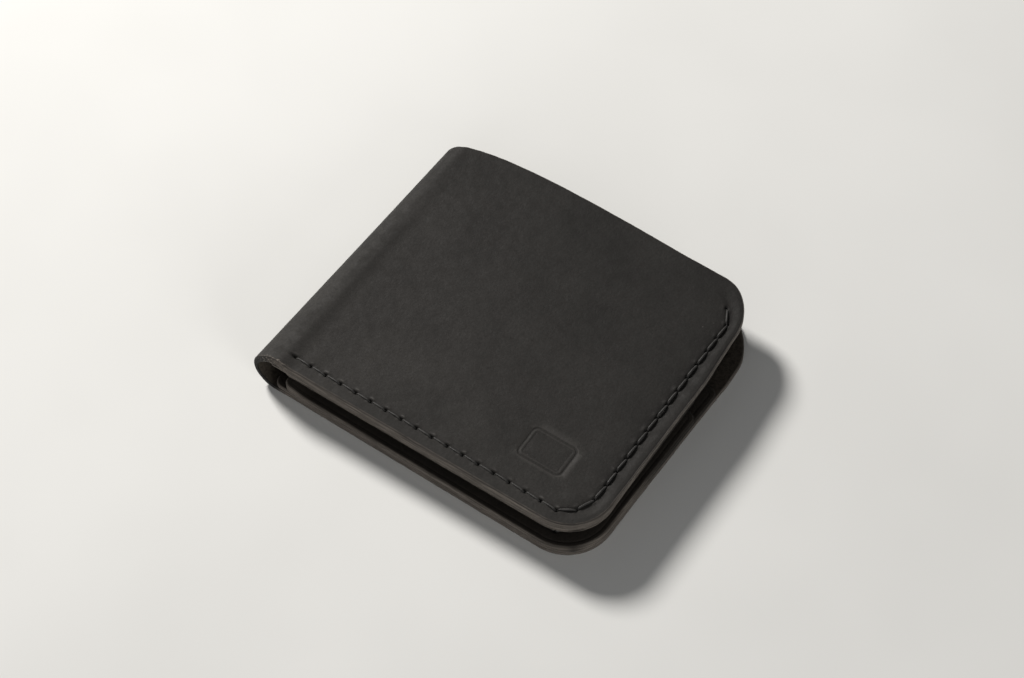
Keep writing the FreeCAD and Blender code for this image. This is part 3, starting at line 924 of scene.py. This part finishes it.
# ---- middle of the spine ---------------------------------------------------
def spine_middle():
    us = [u_seam - x for x in (0.0, 0.08, 0.2, 0.4)]
    us += list(np.linspace(u_seam - 0.7, u_mid, 12))
    cols = [(u, -1) for u in us] + [(u, 1) for u in reversed(us[:-1])]
    d, n, kind = section()
    U, Y, N, D, K, S = [], [], [], [], [], []
    E, B = [], []
    for u, side in cols:
        y_far = y_top - float(dip(u))
        rows = []
        # near end: inside to outside, then along the outside, then the far end
        for s in range(len(d) - 1, -1, -1):
            rows.append((y_bot + d[s], n[s], d[s], kind[s], 1.0))
        for y in np.linspace(y_bot + 9.0, y_far - 9.0, SEAM_ROWS + 1)[1:-1]:
            rows.append((y, 0.0, 9.0, 0, 0.0))
        for s in range(len(d)):
            rows.append((y_far - d[s], n[s], d[s], kind[s], -1.0))
        for y in np.linspace(y_far - 9.0, y_bot + 9.0, SEAM_ROWS + 1)[1:-1]:
            rows.append((y, cover_t, 9.0, 2, 0.0))
        near = float(bevel_near(side * (u - u_mid)))
        for y, nn, dd, kk, ee in rows:
            E.append(ee)
            B.append(near if ee > 0 else 0.16 if ee < 0 else 1.0)
            U.append(u)
            Y.append(y)
            N.append(nn)
            D.append(dd)
            K.append(kk)
            S.append(side)
    m = len(rows)
    U, Y, N, D, K, S, E, B = map(np.array, (U, Y, N, D, K, S, E, B))
    U, Y, N = shape_bevel(U, Y, N, D, K, np.zeros(len(U)), E, B)
    rel = np.zeros(len(U))
    top = K == 0
    rel[top] = outer_relief(U[top], Y[top], D[top], B[top])
    nn = N + rel
    Pb = fold_map(U, Y, nn, -1)
    Pf = fold_map(U, Y, nn, 1)
    P = np.where((S < 0)[:, None], Pb, Pf)
    faces = []
    for c in range(len(cols) - 1):
        for k in range(m):
            k2 = (k + 1) % m
            faces.append((c * m + k, c * m + k2, (c + 1) * m + k2, (c + 1) * m + k))
    faces.append(tuple(range(m - 1, -1, -1)))
    last = (len(cols) - 1) * m
    faces.append(tuple(last + k for k in range(m)))
    rest = np.stack([S * (U - u_mid), Y, N], 1)
    attrs = {"rest": rest, "rim": np.where(K == 2, np.maximum(D, 1.6), np.maximum(D, 0.0)), "seam_pit_shade": np.zeros(len(U)),
             "edge_wear_and_shade": worn_edge(U), "fray": frayed(U, Y, 1), "painted_highlight": np.zeros(len(U))}
    o = make_object("cover_leather_spine", P, faces, attrs,
                    sharp_faces=[len(faces) - 2, len(faces) - 1], mats=[COVER])
    return o, P


pieces["spine"] = spine_middle()


# --------------------------------------------------------------------------
# Inner panels: thin leather with rounded, creased edges.
# --------------------------------------------------------------------------
def panel_outline(x0, x1, y0, y1, radii, steps):
    """Closed outline, counter-clockwise, with inward directions."""
    a, b, c, dd = radii
    pts, nrm = [], []

    def line(p, q, nx, ny, step):
        k = max(1, int(round(math.hypot(q[0] - p[0], q[1] - p[1]) / step)))
        for t in np.linspace(0, 1, k + 1)[:-1]:
            pts.append((p[0] + (q[0] - p[0]) * t, p[1] + (q[1] - p[1]) * t))
            nrm.append((nx, ny))

    def arc(cx, cy, r, a0, a1, step):
        k = max(6, int(round(r * math.radians(abs(a1 - a0)) / step)))
        for t in np.linspace(0, 1, k + 1)[:-1]:
            g = math.radians(a0 + (a1 - a0) * t)
            pts.append((cx + r * math.cos(g), cy + r * math.sin(g)))
            nrm.append((-math.cos(g), -math.sin(g)))

    s_near, s_out, s_far, s_spine = steps
    line((x0 + a, y0), (x1 - b, y0), 0, 1, s_near)
    arc(x1 - b, y0 + b, b, -90, 0, s_near)
    line((x1, y0 + b), (x1, y1 - c), -1, 0, s_out)
    arc(x1 - c, y1 - c, c, 0, 90, 0.35)
    line((x1 - c, y1), (x0 + dd, y1), 0, -1, s_far)
    arc(x0 + dd, y1 - dd, dd, 90, 180, 0.35)
    line((x0, y1 - dd), (x0, y0 + a), 1, 0, s_spine)
    arc(x0 + a, y0 + a, a, 180, 270, 0.35)
    return np.array(pts), np.array(nrm)


def belly(u, y, ytop):
    """Lift of a pocket's mouth away from what it is sewn to."""
    s = np.sin(math.pi * np.clip((u - seam_x0) / (x_out - 5.2 - seam_x0), 0, 1)) ** 0.8
    v = np.clip((y - (y_bot + 5)) / (ytop - y_bot - 5), 0, 1.05) ** 2.2
    return s * v


def panel_wear_and_shade(U, Y, x0, y1):
    """The panels' edges are light like the cover's along the stitched sides, and darkened toward their mouths, in the
    gap between the halves, as painted shade.
    """
    out_side = 1.0 - smooth(-26.0, -4.0, Y)
    near_side = 1.0 - smooth(y_bot + 1.5, y_bot + 4.0, Y)
    return np.clip(np.maximum(near_side, out_side * smooth(x_out - 6.0, x_out - 2.0, U)), 0.0, 1.0) * 0.9 + 0.1


def panel(name, side, x0, y1, n0, n1, radii, lift, seams, seed, mat, drop, bevel, swell=0.0):
    """One panel between depths n0 (toward the cover) and n1 (toward the inside)."""
    t = n1 - n0
    inset = 0.06
    path, nrm = panel_outline(x0, x_out - inset, y_bot + inset, y1, radii, (0.55, 0.55, 1.0, 1.0))
    r1d, r1n, r2 = bevel[0], bevel[1], 0.16
    d = [2.1, 1.9, 1.75, 1.62, 1.5, 1.38, 1.2, 1.05]
    n = [n1] * len(d)
    kind = [0] * len(d)
    for fd, fn in ((1.0, 0.0), (0.93, 0.02), (0.86, 0.07), (0.70, 0.22), (0.50, 0.42), (0.30, 0.62), (0.14, 0.80),
                   (0.04, 0.93), (0.0, 1.0)):
        d.append(r1d * fd)
        n.append(n1 - r1n * fn)
        kind.append(1)
    d.append(-0.02)
    n.append((n1 - r1n + n0 + r2) / 2)
    kind.append(1)
    for a in (90, 45, 0):
        d.append(r2 * (1 - math.sin(math.radians(a))))
        n.append(n0 + r2 * (1 - math.cos(math.radians(a))))
        kind.append(1)
    d += [0.6, 2.1]
    n += [n0, n0]
    kind += [2, 2]
    d, n, kind = map(np.array, (d, n, kind))
    nc, ns = len(path), len(d)
    ringU = path[:, 0][:, None] + nrm[:, 0][:, None] * d[None, :]
    ringY = path[:, 1][:, None] + nrm[:, 1][:, None] * d[None, :]
    loop = np.stack([ringU[:, 0], ringY[:, 0]], 1)
    cand = []
    for u in np.arange(x0 + 2.4, x_out - 2.4, 2.2):
        for y in np.arange(y_bot + 2.8, y1 - 2.2, 2.2):
            cand.append((u, y))
    cand = np.array(cand)
    fine = []
    for holes in seams:
        for (ax, ay), (bx, by) in zip(holes[:-1], holes[1:]):
            L = math.hypot(bx - ax, by - ay)
            tx, ty = (bx - ax) / L, (by - ay) / L
            k = int(round(L / 0.42))
            for i in range(k):
                for off in (-1.25, -0.85, -0.55, -0.28, 0.0, 0.28, 0.55, 0.85, 1.25):
                    fine.append((ax + tx * L * i / k - ty * off, ay + ty * L * i / k + tx * off))
    fine = np.array(fine) if fine else np.zeros((0, 2))
    keep = np.ones(len(cand), bool)
    for holes in seams:
        line, *_ = line_fields(cand[:, 0], cand[:, 1], holes)
        keep &= line > 1.7
    cand = cand[keep]
    cand = cand[inside_margin(cand, loop, 0.5)]
    fine = fine[inside_margin(fine, loop, 0.12)]
    # drop fine points that fall on each other where the seam turns
    seen, kept = set(), []
    for p in fine:
        key = (round(p[0] / 0.16), round(p[1] / 0.16))
        if key not in seen:
            seen.add(key)
            kept.append(p)
    pts_t, tris_t = triangulate(loop, np.vstack([cand, np.array(kept)]))
    back_cand = cand[::2]
    pts_b, tris_b = triangulate(loop, back_cand)
    et, eb = pts_t[nc:], pts_b[nc:]
    U = np.concatenate([ringU.ravel(), et[:, 0], eb[:, 0]])
    Y = np.concatenate([ringY.ravel(), et[:, 1], eb[:, 1]])
    D = np.concatenate([np.tile(d, nc), np.full(len(et), 9.0), np.full(len(eb), 9.0)])
    N = np.concatenate([np.tile(n, nc), np.full(len(et), n1), np.full(len(eb), n0)])
    K = np.concatenate([np.tile(kind, nc), np.zeros(len(et), int), np.full(len(eb), 2)])
    faces = []
    for c in range(nc):
        c2 = (c + 1) % nc
        for s in range(ns - 1):
            faces.append((c * ns + s, c * ns + s + 1, c2 * ns + s + 1, c2 * ns + s))
    bt, bb = nc * ns, nc * ns + len(et)
    for tri in tris_t:
        faces.append(tuple(i * ns if i < nc else bt + i - nc for i in tri))
    for tri in tris_b:
        faces.append(tuple(i * ns + ns - 1 if i < nc else bb + i - nc for i in reversed(tri)))
    top = K == 0
    rel = np.zeros(len(U))
    seam_pit_shade = np.zeros(len(U))
    for holes in seams:
        line, r, *_ = line_fields(U[top], Y[top], holes)
        rel[top] -= 0.20 * np.exp(-(line / 0.6) ** 2) + 0.45 * np.exp(-(r / 0.42) ** 2)
        # painted shade in the seam's holes and along its channel
        seam_pit_shade[top] = np.maximum(seam_pit_shade[top], np.clip(0.5 * np.exp(-(line / 0.5) ** 2) + 0.95 * np.exp(-(r / 0.5) ** 2), 0, 1))
    rel[top] -= 0.09 * np.exp(-((D[top] - 1.62) / 0.18) ** 2)
    rel[top] += 0.05 * noise_at(U[top], Y[top], 22.0, seed) * smooth(1.5, 6.0, D[top])
    depth = N + rel + lift(U, Y)
    # the spine-side end stands a little off the cover
    depth = depth + drop * (1.0 - smooth(x0, x0 + 4.0, U))
    face = np.clip((N - n0) / t, 0.0, 1.0)
    depth = depth + swell * face * (1.0 - smooth(x0 - 1.0, x0 + 8.0, U)) * np.exp(-((Y - y_bot) / 20.0) ** 2)
    wav = 0.05 * noise_at(U + Y, np.zeros_like(U), 3.0, seed + 2.0) * (1.0 - smooth(0.4, 1.9, D))
    inY = np.where(Y < y_bot + 6, 1.0, 0.0)
    inX = np.where(U > x_out - 6, -1.0, 0.0)
    P = fold_map_panel(U + wav * inX, Y + wav * inY, depth, side)
    if side > 0:
        faces = [tuple(reversed(f)) for f in faces]
    attrs = {"rest": np.stack([U * side + seed * 40.0, Y, N], 1),
             "rim": np.where(K == 2, np.maximum(D, 1.6), np.maximum(D, 0.0) * (0.96 / bevel[0])), "seam_pit_shade": seam_pit_shade,
             "edge_wear_and_shade": panel_wear_and_shade(U, Y, x0, y1), "fray": np.zeros(len(U)), "painted_highlight": np.zeros(len(U))}
    o = make_object(name, P, faces, attrs, mats=[mat])
    return o, P


def fold_map_panel(u, y, n, side):
    """As the cover's map, with a gentler bend for the loose ends beside the fold."""
    u = np.asarray(u, float)
    over = np.clip(x_arc - u, 0.0, None)
    Z = n + over ** 2 / (2.0 * (9.0 if side < 0 else 60.0))
    X = np.where(over > 0, x_arc - over * (1.0 - 0.02 * over), u)
    if side > 0:
        Z = T - Z
    return np.stack([X, y, Z], 1)


# thickness of the layers sewn into each half: the back half has the heavier leather
LAYERS = {-1: (cover_t, cover_t + 1.25, cover_t + 2.65), 1: (cover_t, cover_t + 0.85, cover_t + 1.75)}


def lift_bill(u, y):
    return 0.30 * belly(u, y, y_bill)


def lift_card(u, y):
    return 0.30 * belly(u, y, y_bill) + 0.42 * belly(u, y, y_card)


for side, label in ((-1, "back"), (1, "front")):
    ext = 2.6 if side < 0 else 3.5
    l0, l1, l2 = LAYERS[side]
    pieces["bill_" + label] = panel(
        "bill_panel_leather_" + label, side, x_arc - ext, y_bill, l0 + 0.02, l1,
        (2.3, corner_r - 0.06, 2.5, 2.3), lift_bill, [edge_holes], 6.0 + side, POCKET_L,
        0.10 if side < 0 else 0.55, (0.40, 0.36))
    pieces["card_" + label] = panel(
        "card_pocket_leather_" + label, side, x_arc + 1.3 - (0.6 if side < 0 else 0.0), y_card, l1 + 0.02, l2,
        (2.3, corner_r - 0.06, 2.5, 2.3), lift_card, [edge_holes, pocket_holes], 16.0 + side, POCKET_L,
        0.15, (0.55, 0.42) if side < 0 else (0.70, 0.55), 1.5 if side < 0 else 0.0)


# --------------------------------------------------------------------------
# Waxed thread: one twisted strand per stitch, going down into the holes.
# --------------------------------------------------------------------------
def inside_depth(x, y, side):
    """Depth of the innermost surface of a half."""
    x = np.asarray(x, float)
    y = np.asarray(y, float)
    c = cover_t
    bill = LAYERS[side][1] + lift_bill(x, y)
    card = LAYERS[side][2] + lift_card(x, y)
    a = 1.0 - smooth(y_bill - 0.25, y_bill + 0.35, y)
    b = 1.0 - smooth(y_card - 0.25, y_card + 0.35, y)
    return c + (bill - c) * a + (card - bill) * b


def strand(verts, faces, rest, ply, line, radius, turns, seed):
    """Adds one twisted strand along line (k x 3)."""
    k = len(line)
    around = 14
    tan = np.gradient(line, axis=0)
    tan /= np.linalg.norm(tan, axis=1)[:, None]
    side = np.cross(tan, np.array([0.0, 0.0, 1.0]))
    bad = np.linalg.norm(side, axis=1) < 1e-3
    side[bad] = np.array([1.0, 0.0, 0.0])
    side /= np.linalg.norm(side, axis=1)[:, None]
    up = np.cross(side, tan)
    base = len(verts)
    seg = np.concatenate([[0], np.cumsum(np.linalg.norm(np.diff(line, axis=0), axis=1))])
    for i in range(k):
        for j in range(around):
            a = 2 * math.pi * j / around
            tw = 3 * (a + 2 * math.pi * turns * seg[i] / 5.0) + seed
            bulge = abs(math.cos(tw / 2.0))
            r = radius[i] * (0.86 + 0.20 * bulge)
            p = line[i] + side[i] * (r * math.cos(a)) + up[i] * (r * math.sin(a))
            verts.append(p)
            rest.append((p[0], p[1], p[2]))
            ply.append(bulge)
    for i in range(k - 1):
        for j in range(around):
            j2 = (j + 1) % around
            faces.append((base + i * around + j, base + i * around + j2,
                          base + (i + 1) * around + j2, base + (i + 1) * around + j))
    faces.append(tuple(base + j for j in range(around - 1, -1, -1)))
    faces.append(tuple(base + (k - 1) * around + j for j in range(around)))


def stitches(name, side, runs):
    """runs: (holes, where, slant, rise).  where = 'outside' or 'inside' of the half."""
    verts, faces, rest, ply = [], [], [], []
    gen = np.random.default_rng(5 + (3 if side > 0 else 0))
    for holes, where, slant, rise in runs:
        for i, (p, q) in enumerate(zip(holes[:-1], holes[1:])):
            L = math.hypot(q[0] - p[0], q[1] - p[1])
            tx, ty = (q[0] - p[0]) / L, (q[1] - p[1]) / L
            nx, ny = -ty, tx
            k = 26
            t = 0.5 - 0.5 * np.cos(np.linspace(0, math.pi, k))
            t = 0.35 * t + 0.65 * np.linspace(0, 1, k)
            s = slant * gen.uniform(0.8, 1.2)
            if where == "outside" and abs(ty) > abs(tx):
                s = s * gen.uniform(0.35, 0.95)
            jit = gen.uniform(-0.06, 0.06)
            lat = s * (1 - 2 * t) * smooth(0.0, 0.12, t) * smooth(0.0, 0.12, 1 - t) + jit * np.sin(math.pi * t)
            x = p[0] + tx * L * t + nx * lat
            y = p[1] + ty * L * t + ny * lat
            dive = np.exp(-(t * L / 0.48) ** 2) + np.exp(-((1 - t) * L / 0.48) ** 2)
            h = rise + gen.uniform(-0.03, 0.03) + 0.05 * np.sin(math.pi * t) - 1.05 * dive
            if where == "outside":
                # pulled down into the leather at one end of each stitch
                if abs(tx) > abs(ty):
                    h = h - 0.22 * (1.0 - smooth(0.22, 0.62, t))
                else:
                    h = h - 0.16 * smooth(0.48, 0.86, t) + gen.uniform(-0.07, 0.02)
            if where == "outside":
                depth = 0.0 - h
            else:
                depth = inside_depth(x, y, side) + h
            P = fold_map_panel(x, y, depth, side) if where == "inside" else fold_map(x, y, depth, side)
            rad = thread_r * (0.88 + 0.12 * np.sin(math.pi * t)) * gen.uniform(0.95, 1.05)
            strand(verts, faces, rest, ply, P, rad, 3.0 + gen.uniform(-0.2, 0.2), gen.uniform(0, 6))
    o = make_object(name, np.array(verts), faces, {"rest": np.array(rest), "ply": np.array(ply)}, mats=[THREAD])
    return o, np.array(verts)


for side, label in ((-1, "back"), (1, "front")):
    pieces["edge_thread_" + label] = stitches(
        "edge_thread_" + label, side,
        [(edge_holes, "outside", 0.24, -0.09), (edge_holes, "inside", -0.25, 0.08)])
    pieces["pocket_thread_" + label] = stitches(
        "pocket_thread_" + label, side, [(pocket_holes, "inside", -0.2, 0.10)])

for key, (o, P) in pieces.items():
    flip_if_inside_out(o)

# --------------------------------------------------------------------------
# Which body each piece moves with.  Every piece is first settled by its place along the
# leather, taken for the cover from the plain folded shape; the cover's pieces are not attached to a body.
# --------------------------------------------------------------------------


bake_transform(pieces["cover_back"][0])
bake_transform(pieces["spine"][0])
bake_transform(pieces["cover_front"][0])

for key, (o, P) in pieces.items():
    if key.startswith("cover") or key == "spine":
        a = np.empty(len(P) * 3, np.float32)
        o.data.attributes["rest"].data.foreach_get("vector", a)
        w = a.reshape(-1, 3)[:, 0].astype(float)
    else:
        side = -1.0 if key.endswith("back") else 1.0
        w = side * flat_w(np.maximum(P[:, 0], -43.6))
    set_coords(o, settle(P, w))

rides = {
    "bill_back": "back_half", "card_back": "back_half", "edge_thread_back": "back_half", "pocket_thread_back": "back_half",
    "bill_front": "front_half", "card_front": "front_half", "edge_thread_front": "front_half",
    "pocket_thread_front": "front_half",
}
for key, body in rides.items():
    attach(pieces[key][0], body)

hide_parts("cover_back")
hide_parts("cover_front")
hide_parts("cover_spine_back", "cover_spine_front")
for label in ("back", "front"):
    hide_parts("bill_panel_" + label)
    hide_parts("card_pocket_" + label)
    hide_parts("edge_stitching_" + label)
    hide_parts("pocket_seam_" + label)

# --------------------------------------------------------------------------
# Floor, light and camera.
# --------------------------------------------------------------------------
floor_mesh = bpy.data.meshes.new("floor")
fs = 3.0
floor_mesh.from_pydata([(-fs, -fs, 0), (fs, -fs, 0), (fs, fs, 0), (-fs, fs, 0)], [], [(0, 1, 2, 3)])
floor = bpy.data.objects.new("floor", floor_mesh)
bpy.context.scene.collection.objects.link(floor)
fm, fnt, fb = new_material("floor_plain")
fg = Graph(fnt)
tex = fnt.nodes.new("ShaderNodeTexCoord")
fcol = fg.mix(fg.span(fg.noise(tex.outputs["Object"], 9.0, 3.0, 0.5), 0.3, 0.7), (0.70, 0.70, 0.685), (0.74, 0.74, 0.725))
fg.link(fcol, fb.inputs["Base Color"])
fb.inputs["Roughness"].default_value = 0.75
fb.inputs["Specular IOR Level"].default_value = 0.25
floor_mesh.materials.append(fm)


def area_light(name, place, target, size, power, colour):
    data = bpy.data.lights.new(name, "AREA")
    data.shape = "DISK"
    data.size = size
    data.energy = power
    data.color = colour
    o = bpy.data.objects.new(name, data)
    bpy.context.scene.collection.objects.link(o)
    d = Vector(target) - Vector(place)
    o.location = place
    o.rotation_euler = d.to_track_quat("-Z", "Y").to_euler()
    return o


area_light("key", (-0.98, 0.31, 0.79), (0.0, 0.0, 0.0), 0.30, 24.0, (1.0, 0.975, 0.94))
area_light("right_fill", (1.25, -0.45, 0.26), (0.0, 0.0, 0.0), 0.8, 7.5, (1.0, 0.985, 0.96))
area_light("front_fill", (0.10, -1.30, 0.30), (0.0, 0.0, 0.0), 0.8, 3.4, (1.0, 0.985, 0.96))
world = bpy.data.worlds.new("studio")
world.use_nodes = True
bg = world.node_tree.nodes["Background"]
bg.inputs[0].default_value = (0.93, 0.96, 1.0, 1.0)
bg.inputs[1].default_value = 0.09
bpy.context.scene.world = world
bpy.context.scene.view_settings.view_transform = "Standard"

az, el, roll = 0.61420, 1.01226, 0.02335
fwd = np.array([-math.sin(az) * math.cos(el), math.cos(az) * math.cos(el), -math.sin(el)])
right = np.array([math.cos(az), math.sin(az), 0.0])
down = np.cross(fwd, right)
r2 = math.cos(roll) * right + math.sin(roll) * down
d2 = -math.sin(roll) * right + math.cos(roll) * down
cam_data = bpy.data.cameras.new("camera")
cam_data.sensor_width = 36.0
cam_data.lens = 3003.26 / 1024.0 * 36.0
cam_data.clip_start = 0.05
cam_data.clip_end = 20.0
cam = bpy.data.objects.new("camera", cam_data)
bpy.context.scene.collection.objects.link(cam)
M = Matrix.Identity(4)
for i in range(3):
    M[i][0], M[i][1], M[i][2] = r2[i], -d2[i], -fwd[i]
M[0][3], M[1][3], M[2][3] = 0.2519, -0.35765, 0.7084
cam.matrix_world = M
bpy.context.scene.camera = cam
